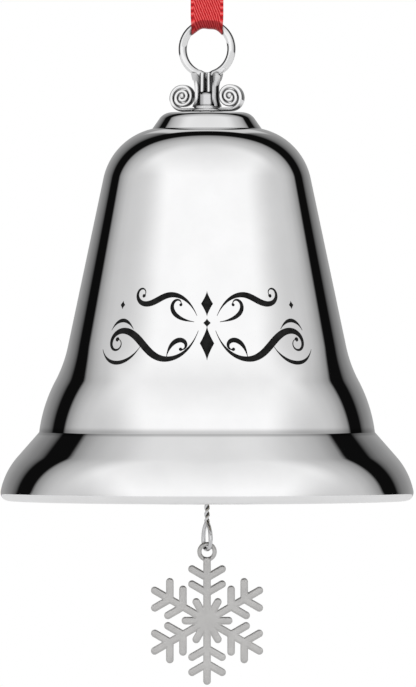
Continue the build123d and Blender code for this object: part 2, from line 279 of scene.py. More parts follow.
def make_floor():
    """A plain pale floor that is seen from above only, so that views from below stay clear."""
    material, tree, shader = new_material("pale_floor")
    feed(tree, shader, {"Base Color": (*grey(0.88), 1), "Roughness": 0.9,
                        "Emission Color": (*grey(1.0), 1), "Emission Strength": 0.21})
    clear = node(tree, "ShaderNodeBsdfTransparent")
    underside = node(tree, "ShaderNodeNewGeometry").outputs["Backfacing"]
    either = node(tree, "ShaderNodeMixShader", {0: underside, 1: shader.outputs[0],
                                                2: clear.outputs[0]})
    output = next(n for n in tree.nodes if n.type == "OUTPUT_MATERIAL")
    tree.links.new(either.outputs[0], output.inputs["Surface"])
    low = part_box("snowflake_charm")[0][2] - FLOOR_BELOW * MM
    rim = [(x * MM, y * MM, low) for x, y in round_section(FLOOR_R, FLOOR_SIDES)]
    mesh_piece("floor", rim, [tuple(range(FLOOR_SIDES))], material, flat=True)


# ---------------------------------------------------------------- materials
RIDGE = (30.98, 12.55)      # radius and height of the crease between the bell's skirt and body
CREASE_UNDER, CREASE_OVER = 0.75, 1.5   # how far the painted shade along the crease fades out, mm


def polished_metal(name, colour, roughness, wear, cavity=None, crease=None):
    """Polished metal with faint variation in its polish, and painted shade.

    `cavity` is the width in millimetres of the recesses that get painted shade from an ambient
    occlusion test, and `crease` the tone of the painted shade along the bell's crease.
    """
    material, tree, shader = new_material(name)
    where = node(tree, "ShaderNodeTexCoord").outputs["Object"]
    cloud = noise(tree, where, 180.0, 4.0)
    fine = noise(tree, where, 2600.0, 2.0)
    polish = node(tree, "ShaderNodeMapRange", {0: cloud, 1: 0.35, 2: 0.7, 3: roughness,
                                               4: roughness + wear}).outputs[0]
    dark = tuple(c * 0.97 for c in colour)
    base = ramp(tree, cloud, [(0.35, dark), (0.65, colour)])
    if cavity:
        # painted shade: recesses darkened by ambient occlusion
        shade = node(tree, "ShaderNodeAmbientOcclusion", {"Distance": cavity * MM}, samples=8)
        painted_recess_shade = ramp(tree, shade.outputs["AO"],
                    [(0.38, grey(0.01)), (0.62, grey(0.3)), (0.88, grey(1.0))])
        base = mix_colours(tree, 1.0, base, painted_recess_shade, "MULTIPLY")
    # painted shade: a dark band along the crease where the skirt meets the body
    if crease:
        z = node(tree, "ShaderNodeSeparateXYZ", {0: where}).outputs[2]
        ridge_z = rim_z + RIDGE[1] * MM
        near = math_node(tree, "MINIMUM", band(tree, z, ridge_z - CREASE_UNDER * MM, ridge_z),
                         band(tree, z, ridge_z + CREASE_OVER * MM, ridge_z))
        painted_crease_shade = ramp(tree, near, [(0.0, grey(1.0)), (1.0, grey(crease))], "EASE")
        base = mix_colours(tree, 1.0, base, painted_crease_shade, "MULTIPLY")
    feed(tree, shader, {"Metallic": 1.0, "Base Color": base, "Roughness": polish,
                        "Normal": bump(tree, fine, 0.012, 0.00002)})
    return material


def satin_metal():
    """Matt nickel with a fine grain and clouded tone."""
    material, tree, shader = new_material("satin_nickel")
    where = node(tree, "ShaderNodeTexCoord").outputs["Object"]
    grain = noise(tree, where, 5200.0, 3.0)
    cloud = noise(tree, where, 420.0, 3.0)
    base = ramp(tree, cloud, [(0.3, (0.54, 0.533, 0.526)), (0.7, (0.61, 0.603, 0.594))])
    rough = node(tree, "ShaderNodeMapRange", {0: grain, 1: 0.3, 2: 0.7, 3: 0.30, 4: 0.42})
    feed(tree, shader, {"Metallic": 1.0, "Base Color": base, "Roughness": rough.outputs[0],
                        "Normal": bump(tree, grain, 0.12, 0.00003)})
    return material


def black_enamel():
    """Black paint in the engraved strokes, slightly uneven."""
    material, tree, shader = new_material("black_fill")
    where = node(tree, "ShaderNodeTexCoord").outputs["Object"]
    cloud = noise(tree, where, 900.0, 3.0)
    base = ramp(tree, cloud, [(0.3, grey(0.004)), (0.75, grey(0.02))])
    rough = node(tree, "ShaderNodeMapRange", {0: cloud, 3: 0.5, 4: 0.75})
    feed(tree, shader, {"Base Color": base, "Roughness": rough.outputs[0],
                        "Specular IOR Level": 0.12})
    return material


WEAVE_PITCH = 0.47          # between two diagonal lines of the twill, mm
BEAD_PITCH = 1.1            # between two beads of the woven edge, mm
EDGE_BAND = 0.55            # width of the woven edge, mm
FOLD_SHADE_LENGTH = 2.25               # length of the painted shade on the fold, from under the ring's bar, mm
FOLD_SHADE_FADE = 0.35
RIBBON_WIDTH = 6.35


def ribbon_satin():
    """Red satin: steep diagonal lines, and a beaded woven edge. UV is in millimetres: u runs
    across the ribbon from its middle, and v along it from under the ring's bar."""
    material, tree, shader = new_material("red_satin")
    uv = node(tree, "ShaderNodeUVMap", uv_map="weave").outputs[0]
    parts = node(tree, "ShaderNodeSeparateXYZ", {0: uv})
    u, v = parts.outputs[0], parts.outputs[1]
    shift = math_node(tree, "MULTIPLY", noise(tree, uv, 1.6, 2.0), 0.35)
    slant = math_node(tree, "ADD", math_node(tree, "MULTIPLY_ADD", v, 0.42, u), shift)
    mottled = math_node(tree, "MULTIPLY_ADD", noise(tree, uv, 9.0, 3.0), 0.7, -0.35)
    body = math_node(tree, "ADD", wave(tree, slant, WEAVE_PITCH), mottled)
    edge_from = math_node(tree, "ABSOLUTE", u)
    edge_start = RIBBON_WIDTH / 2 - EDGE_BAND
    edge = band(tree, edge_from, edge_start - 0.05, edge_start + 0.05)
    height = node(tree, "ShaderNodeMix",
                  {0: edge, 2: body, 3: wave(tree, v, BEAD_PITCH)}).outputs[0]
    colour = ramp(tree, height, [(0.05, (0.46, 0.004, 0.009)), (0.4, (0.80, 0.012, 0.02)),
                                 (0.75, (0.98, 0.05, 0.055)), (1.0, (1.0, 0.20, 0.19))])
    # painted shade on the ribbon's fold, darker within this length of the ring's bar
    painted_fold_shade = ramp(tree, band(tree, v, FOLD_SHADE_LENGTH + FOLD_SHADE_FADE, FOLD_SHADE_LENGTH),
                  [(0.0, grey(1)), (1.0, (0.5, 0.3, 0.35))])
    colour = mix_colours(tree, 1.0, colour, painted_fold_shade, "MULTIPLY")
    feed(tree, shader, {"Base Color": colour, "Normal": bump(tree, height, 0.5, 0.00006),
                        "Roughness": 0.42, "Sheen Weight": 0.06, "Sheen Roughness": 0.35,
                        "Sheen Tint": (1.0, 0.5, 0.5, 1), "Specular IOR Level": 0.22})
    return material


# the silver carries painted shade along the bell's crease
silver = polished_metal("silver_plate", (0.96, 0.96, 0.965), 0.015, wear=0.02, crease=0.62)
# near-black metal painted on the stem's hollow as shade, with painted shade in its recesses too
hollow_shade_metal = polished_metal("painted_shade_dark_metal", (0.10, 0.10, 0.105), 0.30, wear=0.1, cavity=1.2)
# the cast silver and the steel carry painted shade in their recesses
silver_cast = polished_metal("cast_silver", (0.94, 0.94, 0.945), 0.05, wear=0.05, cavity=2.2)
bright_steel = polished_metal("bright_steel", (0.72, 0.72, 0.73), 0.12, wear=0.1, cavity=0.5)
brass = polished_metal("polished_brass", (0.78, 0.70, 0.52), 0.10, wear=0.1)
nickel = satin_metal()
enamel = black_enamel()
red_satin = ribbon_satin()


# ---------------------------------------------------------------- bell shell
WALL = 1.2
RIM_R = 38.1
LIP_R = 1.5
LIP_LEAN = 11.3
SKIRT_R, SKIRT_LEAN = 13.5, 41.3
BULGE_R, BULGE_LOW, BULGE_HIGH = 27.5, 7.0, 28.0
WAIST_R, BODY_LEAN = 24.0, 12.0
SHOULDER_R, SHOULDER_TOP = 11.8, 77.3
SHOULDER_START = (19.11, 59.5)
NECK = (10.15, 68.5)
CROWN_HEIGHT, CAP_LEAN, CAP_CORNER_R = 71.6, 35.0, 2.7
HOLE_R = 1.65
BEAD_R, BEAD_IN, BEAD_TALL = 1.05, 35.65, 3.0
SOFT = 0.05                 # half the width of the soft edge in an inner corner


def moved_in(point, lean, inset):
    """A point moved inwards, square to an outline that leans inwards by some degrees."""
    return (point[0] - inset * math.cos(math.radians(lean)),
            point[1] - inset * math.sin(math.radians(lean)))


def profile_arc(start, radius, lean_low, lean_high, count):
    """Points of an arc whose tangent leans inwards from lean_low to lean_high degrees."""
    bulges = 1 if lean_high > lean_low else -1
    centre = moved_in(start, lean_low, bulges * radius)
    points = []
    for i in range(count + 1):
        lean = math.radians(lean_low + (lean_high - lean_low) * i / count)
        points.append((centre[0] + bulges * radius * math.cos(lean),
                       centre[1] + bulges * radius * math.sin(lean)))
    return points


def straight(start, end, count):
    """Evenly spaced points between two others, without the first."""
    return [(start[0] + (end[0] - start[0]) * i / count, start[1] + (end[1] - start[1]) * i / count)
            for i in range(1, count + 1)]


def toward(start, end, distance):
    """The point a distance from start on the way to end."""
    way = Vector(end) - Vector(start)
    return tuple(Vector(start) + way.normalized() * distance)


def bell_outline(inset):
    """(radius, height) points from the lip up to the flat of the crown, moved in by inset."""
    lip = moved_in((RIM_R - LIP_R, LIP_R), LIP_LEAN, inset - LIP_R)
    points = profile_arc(lip, SKIRT_R - inset, LIP_LEAN, SKIRT_LEAN, 18)
    ridge = moved_in(RIDGE, BULGE_LOW, inset)
    skirt_end = points[-1]
    rise = (skirt_end[0] - ridge[0] - SOFT) / math.tan(math.radians(SKIRT_LEAN))
    corner = (ridge[0] + SOFT, skirt_end[1] + rise)
    points += straight(skirt_end, toward(corner, skirt_end, 2 * SOFT), 8)
    points.append(toward(corner, skirt_end, SOFT))
    bulge = profile_arc(ridge, BULGE_R - inset, BULGE_LOW, BULGE_HIGH, 20)
    points += [toward(ridge, bulge[1], SOFT), toward(ridge, bulge[1], 2 * SOFT)] + bulge[1:]
    waist = profile_arc(bulge[-1], WAIST_R + inset, BULGE_HIGH, BODY_LEAN, 12)
    points += waist[1:]
    shoulder_start = moved_in(SHOULDER_START, BODY_LEAN, inset)
    points += straight(waist[-1], shoulder_start, 24)
    shoulder = profile_arc(shoulder_start, SHOULDER_R - inset, BODY_LEAN, SHOULDER_TOP, 30)
    neck = moved_in(NECK, CAP_LEAN, inset)
    points += shoulder[1:-1]
    points += [toward(shoulder[-1], shoulder[-2], k * SOFT) for k in (2, 1)]
    if inset:
        points.append((neck[0], shoulder[-1][1]))
    lean = math.radians(CAP_LEAN)
    side = (CROWN_HEIGHT - NECK[1] - CAP_CORNER_R * (1 - math.sin(lean))) / math.cos(lean)
    side_end = (neck[0] - side * math.sin(lean), neck[1] + side * math.cos(lean))
    points += [toward(neck, side_end, SOFT), toward(neck, side_end, 2 * SOFT)]
    points += profile_arc(side_end, CAP_CORNER_R - inset, CAP_LEAN, 90, 12)
    return points


def lathe(name, profile, material, segments):
    """A closed ring of (radius, height) points turned about the bell's axis."""
    points = []
    for i in range(segments):
        angle = 2 * math.pi * i / segments
        for radius, height in profile:
            points.append(place(radius * math.cos(angle), radius * math.sin(angle), height))
    return mesh_piece(name, points, tube_faces(segments, len(profile), wrap=True), material)


def circle_part(centre, radius, start, end, count):
    """Points of an arc between two angles in degrees."""
    return [(centre[0] + radius * math.cos(math.radians(start + (end - start) * i / count)),
             centre[1] + radius * math.sin(math.radians(start + (end - start) * i / count)))
            for i in range(count + 1)]


def make_bell():
    """The shell, outside and inside, with its lip and the hole in the crown."""
    outer = bell_outline(0)
    inner = bell_outline(WALL)
    lip = circle_part((RIM_R - LIP_R, LIP_R), LIP_R, -86, LIP_LEAN, 14)
    crown = outer[-1]
    top = straight(crown, (HOLE_R + 0.1, CROWN_HEIGHT), 5) + [(HOLE_R, CROWN_HEIGHT - 0.1)]
    under = [(HOLE_R, inner[-1][1] + 0.1), (HOLE_R + 0.1, inner[-1][1])]
    under += straight((HOLE_R + 0.1, inner[-1][1]), inner[-1], 4)
    inside = [p for p in reversed(inner[:-1]) if p[1] > BEAD_TALL + 0.1]
    bead = circle_part((BEAD_IN + BEAD_R, BEAD_TALL - BEAD_R), BEAD_R, 80, 180, 8)
    bead += circle_part((BEAD_IN + BEAD_R, BEAD_R), BEAD_R, 180, 266, 8)
    bell = lathe("bell_polished", lip[:-1] + outer + top + under + inside + bead, silver, 288)
    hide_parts("bell_shell")
    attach(bell, "bell")
    return outer


# ---------------------------------------------------------------- engraved flourish
FLOURISH_R = 25.5           # radius at which the flourish is drawn, mm
HAIRLINE = 0.10             # width of a stroke at its ends
STROKE_STEP = 0.12
PROUD = 0.02                # the fill, above and below the bell's surface
SUNK = 0.12
# (start, heading, bends, weight, end ball) of each stroke in the right half, upper tier first
STROKES = (
    ((1.9, 34.0), 66, [(7.5, -0.10, -0.26), (3.0, -0.26, 0.12), (4.2, 0.12, 0.62),
                       (4.4, 0.62, 1.7)], 1.05, 0.34),
    ((2.4, 32.9), 8, [(3.6, 0.02, 0.25), (3.2, 0.25, 0.9), (2.2, 0.9, 2.0)], 0.7, 0.3),
    ((1.6, 31.3), -70, [(9.0, 0.06, 0.25), (5.5, 0.25, -0.04), (6.0, -0.04, -0.36),
                        (8.0, -0.36, -1.25)], 1.25, 0.40),
    ((7.3, 26.5), 98, [(3.4, 0.08, 0.45), (4.2, 0.45, 1.7)], 0.8, 0.32),
    ((12.6, 28.4), -58, [(5.0, 0.10, 0.24), (5.5, 0.24, 0.20)], 0.62, 0.0),
    ((14.4, 31.6), 52, [(3.0, -0.1, -0.45), (3.4, -0.45, -0.25)], 0.6, 0.0))
# (across, height, half width, half height)
DIAMONDS = ((0, 36.2, 1.15, 2.3), (0, 29.0, 1.3, 3.1), (0, 32.7, 0.7, 0.8),
            (-17.6, 36.0, 0.55, 0.75), (17.6, 36.0, 0.55, 0.75))


def catmull(points, steps):
    """A smooth line through 2-D points, with some steps from each to the next."""
    points = [Vector(p) for p in points]
    ends = [points[0] * 2 - points[1]] + points + [points[-1] * 2 - points[-2]]
    line = []
    for i in range(1, len(ends) - 2):
        a, b, c, d = ends[i - 1:i + 3]
        for j in range(steps):
            t = j / steps
            line.append(0.5 * ((2 * b) + (c - a) * t + (2 * a - 5 * b + 4 * c - d) * t * t
                               + (3 * b - a - 3 * c + d) * t ** 3))
    return line + [points[-1]]


def stroke_edges(start, heading, bends, weight, ball):
    """The two edges of a scrolling stroke.

    Each bend is (length, curvature at its start, curvature at its end), so the stroke winds up
    smoothly. It swells towards its middle and can end in a ball of the given radius.
    """
    point, angle = Vector(start), math.radians(heading)
    line = [(point.copy(), angle)]
    for length, first, last in bends:
        count = int(length / STROKE_STEP)
        for i in range(count):
            curvature = first + (last - first) * (i + 0.5) / count
            angle += curvature * length / count
            point += Vector((math.cos(angle), math.sin(angle))) * (length / count)
            line.append((point.copy(), angle))
    end = (len(line) - 1) * STROKE_STEP
    left, right = [], []
    for i, (point, angle) in enumerate(line):
        run = i * STROKE_STEP
        width = HAIRLINE + weight * math.sin(math.pi * run / end) ** 1.5
        if ball:
            inside = 1 - ((run - end) / ball + 1) ** 2
            width = max(width, 2 * ball * math.sqrt(max(0.0, inside)))
        side = Vector((-math.sin(angle), math.cos(angle))) * width / 2
        left.append(point + side)
        right.append(point - side)
    return left, right


def make_flourish(outer):
    """A symmetrical pen flourish in two tiers, filled with black: no lettering."""
    heights = [p[1] for p in outer]

    def on_bell(s, height, lift):
        """A point on the bell, s millimetres round from the front, lifted off its surface."""
        i = max(k for k, h in enumerate(heights) if h <= height)
        (r0, h0), (r1, h1) = outer[i], outer[i + 1]
        radius = r0 + (r1 - r0) * (height - h0) / (h1 - h0)
        lean = math.atan2(r0 - r1, h1 - h0)
        radius += lift * math.cos(lean)
        angle = s / FLOURISH_R
        return place(radius * math.sin(angle), -radius * math.cos(angle),
                     height + lift * math.sin(lean))

    points, faces = [], []

    def add_strip(left, right):
        """A closed thin inlay between two edges."""
        base = len(points)
        for l, r in zip(left, right):
            corners = ((l, PROUD * 0.4), ((l + r) / 2, PROUD), (r, PROUD * 0.4),
                       (r, -SUNK), (l, -SUNK))
            points.extend(on_bell(p[0], p[1], lift) for p, lift in corners)
        strip = tube_faces(len(left), 5, flip=True) + tube_ends(len(left), 5, flip=True)
        faces.extend(tuple(base + k for k in face) for face in strip)

    for stroke in STROKES:
        left, right = stroke_edges(*stroke)
        add_strip(left, right)
        add_strip(*[[Vector((-p[0], p[1])) for p in edge] for edge in (right, left)])

    for s, height, half_wide, half_tall in DIAMONDS:
        left, right = [], []
        for i in range(15):
            t = -1 + 2 * i / 14
            wide = half_wide * (1 - abs(t)) ** 1.35 + 0.01
            left.append(Vector((s - wide, height + t * half_tall)))
            right.append(Vector((s + wide, height + t * half_tall)))
        add_strip(left, right)
    inlay = mesh_piece("engraved_flourish", points, faces, enamel)
    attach(inlay, "bell")


# ---------------------------------------------------------------- swept shapes
def sweep_along(line, section, start_side, closed=False):
    """Points and faces of a section, (side, up) pairs, carried along a line without twist."""
    points = []
    side = Vector(start_side).normalized()
    count = len(line)
    for i, point in enumerate(line):
        if closed:
            way = line[(i + 1) % count] - line[i - 1]
        else:
            way = line[min(i + 1, count - 1)] - line[max(i - 1, 0)]
        way = way.normalized()
        side = (side - way * side.dot(way)).normalized()
        up = way.cross(side)
        for a, b in section:
            points.append(point + side * (a * MM) + up * (b * MM))
    faces = tube_faces(count, len(section), wrap=closed)
    if not closed:
        faces += tube_ends(count, len(section))
    return points, faces


def soft_box(half_a, half_b, power, sides):
    """A rounded rectangle as a superellipse: the higher its power, the sharper its corners."""
    section = []
    for i in range(sides):
        angle = 2 * math.pi * i / sides
        c, s = math.cos(angle), math.sin(angle)
        section.append((half_a * math.copysign(abs(c) ** (2 / power), c),
                        half_b * math.copysign(abs(s) ** (2 / power), s)))
    return section


def bar_section(half_a, half_b, chamfer, swell):
    """A cast bar: flat faces front and back, chamfered corners and slightly rounded sides."""
    corner = half_b - chamfer
    soft = 0.12 * chamfer
    side = [(half_a - swell * (k / 5) ** 2, corner * k / 5) for k in range(-4, 5)]
    edge = half_a - swell
    top = [(edge, corner - soft), (edge - 0.7 * soft, corner + 0.7 * soft),
           (edge - chamfer + 0.7 * soft, half_b - 0.7 * soft), (edge - chamfer - soft, half_b)]
    right = [(a, -b) for a, b in reversed(top)] + side + top
    return right + [(-a, b) for a, b in reversed(right)]


def facet_section(half_a, half_b, facets):
    """A cast bar whose corners are worn to flat facets, each given by its slope and length."""
    steps = [(-length * math.cos(math.radians(slope)), length * math.sin(math.radians(slope)))
             for slope, length in facets]
    corner = (half_a, half_b - sum(step[1] for step in steps))
    upper = [(half_a, 0.6 * corner[1])]
    for step in steps:
        upper += [(corner[0] + step[0] * k, corner[1] + step[1] * k) for k in (0.08, 0.92)]
        corner = (corner[0] + step[0], corner[1] + step[1])
    upper.append((0.8 * corner[0], half_b))
    right = [(a, -b) for a, b in reversed(upper)] + upper
    return right + [(-a, b) for a, b in reversed(right)]


# ---------------------------------------------------------------- scroll finial
RING_R = 4.75
RING_HALF_BAR = 0.7
RING_HALF_DEPTH = 1.1
RING_FACETS = ((80.0, 0.56), (45.0, 0.66))
NOTCH_DEPTH, NOTCH_LIFT = 0.55, 0.25        # of the ring's faces at the stem, share and mm
SCROLL_X, SCROLL_HEIGHT = 4.6, 74.25
SCROLL_RADII = (2.14, 1.71, 1.28, 0.85, 0.45)
SCROLL_HALF_STRIP, SCROLL_HALF_DEPTH = 0.35, 1.0
STEM_LOW, STEM_TOP = 72.6, 78.9
STEM_HALF, TOP_FLARE, FOOT_FLARE = 2.16, 0.5, 0.3       # half width, and what its ends add
FLANGE_WIDTH, FLANGE_DEPTH = 0.5, 1.38
FLUTE_AT, FLUTE_HALF, FLUTE_DEPTH, FLUTE_LOW = 0.66, 0.48, 1.25, 75.15
HOLLOW_LOW, HOLLOW_TOP, HOLLOW_HALF = 73.1, 75.2, 1.25  # the hollow under the flutes, painted near black as shade
COLLAR_R, COLLAR_LOW, COLLAR_TOP = 2.95, CROWN_HEIGHT, CROWN_HEIGHT + 1.2


def make_ring():
    """The hanging ring. Its faces part at the bottom, where the stem's groove begins."""
    points = []
    segments = 160
    section = facet_section(RING_HALF_BAR, RING_HALF_DEPTH, RING_FACETS)
    for i in range(segments):
        angle = 2 * math.pi * i / segments
        from_bottom = abs(math.pi - angle)
        notch = 1 - smooth(0.04, 0.30, from_bottom)
        for a, b in section:
            depth = b * (1 - NOTCH_DEPTH * notch)
            radius = RING_R + a + NOTCH_LIFT * notch
            points.append(place_turned(radius * math.sin(angle), depth,
                                       RING_HEIGHT + radius * math.cos(angle)))
    return mesh_piece("ring", points, tube_faces(segments, len(section), wrap=True, flip=True),
                      silver_cast)


def make_stem():
    """The fluted stem: two flanges, two flutes with a groove between them, and a hollow below that
    is painted near black as shade.
    """
    points = []
    rows, columns = 64, 81
    for i in range(rows):
        height = STEM_LOW + (STEM_TOP - STEM_LOW) * i / (rows - 1)
        half = (STEM_HALF + TOP_FLARE * smooth(76.0, STEM_TOP, height)
                + FOOT_FLARE * (1 - smooth(STEM_LOW, 74.4, height)))
        depths = []
        for j in range(columns):
            u = half * (-1 + 2 * j / (columns - 1))
            at_flange = (abs(u) - (half - FLANGE_WIDTH)) / FLANGE_WIDTH
            flange = math.sqrt(max(0.0, 1 - at_flange ** 2)) ** 0.7
            at_flute = (abs(u) - FLUTE_AT) / FLUTE_HALF
            round_end = FLUTE_LOW + 0.5 * at_flute ** 2
            flute = math.sqrt(max(0.0, 1 - at_flute ** 2)) ** 0.8
            flute *= smooth(round_end - 0.12, round_end + 0.12, height)
            bed = 0.1 + 0.7 * (u / 1.3) ** 2 if abs(u) < half - 0.3 else 0.02
            depths.append((u, max(bed, FLANGE_DEPTH * flange, FLUTE_DEPTH * flute)))
        points += [place_turned(u, -depth, height) for u, depth in depths]
        points += [place_turned(u, depth, height) for u, depth in reversed(depths)]
    faces = tube_faces(rows, 2 * columns) + tube_ends(rows, 2 * columns)
    stem = mesh_piece("stem", points, faces, silver_cast)
    stem.data.materials.append(hollow_shade_metal)
    # the faces of the hollow get the near-black painted shade
    for i in range(rows - 1):
        height = STEM_LOW + (STEM_TOP - STEM_LOW) * (i + 0.5) / (rows - 1)
        for j in range(2 * columns):
            u = 2.2 * (-1 + 2 * (j % columns) / (columns - 1))
            if HOLLOW_LOW < height < HOLLOW_TOP + 0.3 * abs(u) and abs(u) < HOLLOW_HALF:
                stem.data.polygons[i * 2 * columns + j].material_index = 1
    return stem


def scroll_line(sign):
    """A volute from under the stem outwards and up, in half turns of falling radius."""
    low = SCROLL_HEIGHT - SCROLL_RADII[0]
    line = [place_turned(sign * u, 0, low) for u in (COLLAR_R - 1.2, COLLAR_R - 0.4, 3.6)]
    centre_height, start = SCROLL_HEIGHT, -90.0
    for k, radius in enumerate(SCROLL_RADII):
        if k:
            step = SCROLL_RADII[k - 1] - radius
            centre_height += step if k % 2 else -step
        for j in range(25):
            angle = math.radians(start + 180.0 * j / 25)
            line.append(place_turned(sign * (SCROLL_X + radius * math.cos(angle)), 0,
                                     centre_height + radius * math.sin(angle)))
        start += 180.0
    return line


def make_finial():
    """The casting on top: ring, stem, two scrolls with their eyes, and collar in one mesh."""
    parts = [make_ring(), make_stem()]
    strip = bar_section(SCROLL_HALF_STRIP, SCROLL_HALF_DEPTH, 0.17, 0.03)
    for sign in (-1, 1):
        line = scroll_line(sign)
        points, faces = sweep_along(line, strip, UP)
        parts.append(mesh_piece("scroll", points, faces, silver_cast))
        eye = line[-1]
        bead = [eye + THROUGH * (v * MM) for v in (-1.12, -1.0, -0.5, 0.5, 1.0, 1.12)]
        points, faces = sweep_along(bead, round_section(0.42, 16), UP)
        parts.append(mesh_piece("scroll_eye", points, faces, silver_cast))
    collar = [(0.3, COLLAR_LOW + 0.02)]
    collar += circle_part((COLLAR_R - 0.3, COLLAR_LOW + 0.32), 0.3, -90, 80, 8)
    collar += circle_part((COLLAR_R - 0.75, COLLAR_TOP - 0.2), 0.24, -30, 90, 8)
    collar += [(0.3, COLLAR_TOP + 0.05)]
    parts.append(lathe("collar", collar, silver_cast, 96))
    finial = joined("scroll_finial_cast", parts)
    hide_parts("scroll_finial")
    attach(finial, "bell")


# ---------------------------------------------------------------- clapper
CLAPPER_R = 0.375           # of the wire
TOP_LOOP_R = 1.4
LINK_WIRE_R, LINK_PLAY = 0.45, 0.12         # of the jump ring that the top loop hangs in
COIL_TURNS, COIL_R = 6, 0.2                 # the wire's end, wound round the shank
LOOP_TURN = 28.0
LOOP_SIDE = Vector((math.sin(math.radians(LOOP_TURN)), -math.cos(math.radians(LOOP_TURN)), 0))
TWIST_TOP, TWIST_LOW, TWIST_PITCH = 7.0, -3.95, 2.6
# half of the lower loop's outline: (out, height)
HALF_LOOP = [(0.0, -3.7), (0.42, -4.35), (0.98, -5.15), (1.34, -6.3), (1.36, -7.7), (0.92, -8.7),
             (0.0, -9.025)]


def make_clapper():
    """The clapper's wire: an upper loop with a coiled end, a shank, and a twisted lower loop."""
    top_bar = (joints["clapper_swing"]["pos_m"][2] - rim_z) / MM
    loop_centre = top_bar + LINK_WIRE_R + CLAPPER_R + LINK_PLAY - TOP_LOOP_R
    parts = []

    def add(line, radius, closed=False, side=(0, 1, 0), sides=16):
        points, faces = sweep_along(line, round_section(radius, sides), side, closed)
        parts.append(mesh_piece("wire", points, faces, bright_steel))

    circle = [place(TOP_LOOP_R * math.sin(2 * math.pi * i / 64), 0,
                    loop_centre + TOP_LOOP_R * math.cos(2 * math.pi * i / 64)) for i in range(64)]
    add(circle, CLAPPER_R, closed=True)
    neck = loop_centre - TOP_LOOP_R
    add([place(0, 0, h) for h in (neck, neck - 4, 40, 20, 10, TWIST_TOP - 1.5)], CLAPPER_R)
    coil = []
    reach = CLAPPER_R + 0.8 * COIL_R
    for i in range(COIL_TURNS * 24 + 1):
        angle = 2 * math.pi * i / 24
        coil.append(place(reach * math.cos(angle), reach * math.sin(angle),
                          neck - 0.5 - 2.1 * COIL_R * i / 24))
    add(coil, COIL_R, sides=10, side=(0, 0, 1))
    for phase in (0, math.pi):
        twist = []
        for i in range(97):
            height = TWIST_TOP + (TWIST_LOW - TWIST_TOP) * i / 96
            angle = phase + 2 * math.pi * height / TWIST_PITCH
            reach = 0.24 * smooth(TWIST_TOP, TWIST_TOP - 1.2, height)
            twist.append(place(reach * math.cos(angle), reach * math.sin(angle), height))
        add(twist, 0.27)
    outline = [(-a, b) for a, b in HALF_LOOP] + HALF_LOOP[-2::-1]
    loop = [LOOP_SIDE * (p[0] * MM) + UP * (rim_z + p[1] * MM) for p in catmull(outline, 10)]
    add(loop, CLAPPER_R, side=LOOP_SIDE.cross(UP), sides=18)
    wire = joined("clapper_wire_bent", parts)
    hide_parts("clapper_wire")
    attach(wire, "clapper")


# ---------------------------------------------------------------- snowflake
CHARM_HEIGHT = -22.16
CHARM_HALF = 0.6
ARM_REACH, ARM_HALF = 11.14, 0.7
BRANCH_PLACES, BRANCH_LENGTH = (5.13, 7.92), 3.2
STUB_REACH = 3.99
HUB_R = 2.1
CHARM_BEVEL, CHARM_DROP = 0.36, 0.17
EYE_R, EYE_HOLE_R, EYE_HALF = 1.8, 1.0, 0.36
LOOP_BOTTOM, EYE_PLAY = -9.4, 0.2           # the eye hangs on the clapper's lower loop
EYE_HEIGHT = LOOP_BOTTOM + 2 * CLAPPER_R + EYE_PLAY - EYE_HOLE_R
GRID = 0.085                # between the points of the charm's faces


def snowflake_parts():
    """The charm's outlines: (start, end, half width) of each rounded bar, from the hub."""
    bars = []
    for k in range(6):
        turn = math.radians(30 + 60 * k)
        way = Vector((math.cos(turn), math.sin(turn)))
        bars.append((Vector((0, 0)), way * ARM_REACH, ARM_HALF))
        for start in BRANCH_PLACES:
            for lean in (60, -60):
                branch = Vector((math.cos(turn + math.radians(lean)),
                                 math.sin(turn + math.radians(lean))))
                bars.append((way * start, way * start + branch * BRANCH_LENGTH, ARM_HALF))
        stub = Vector((math.cos(turn + math.pi / 6), math.sin(turn + math.pi / 6)))
        bars.append((Vector((0, 0)), stub * STUB_REACH, ARM_HALF))
    return bars


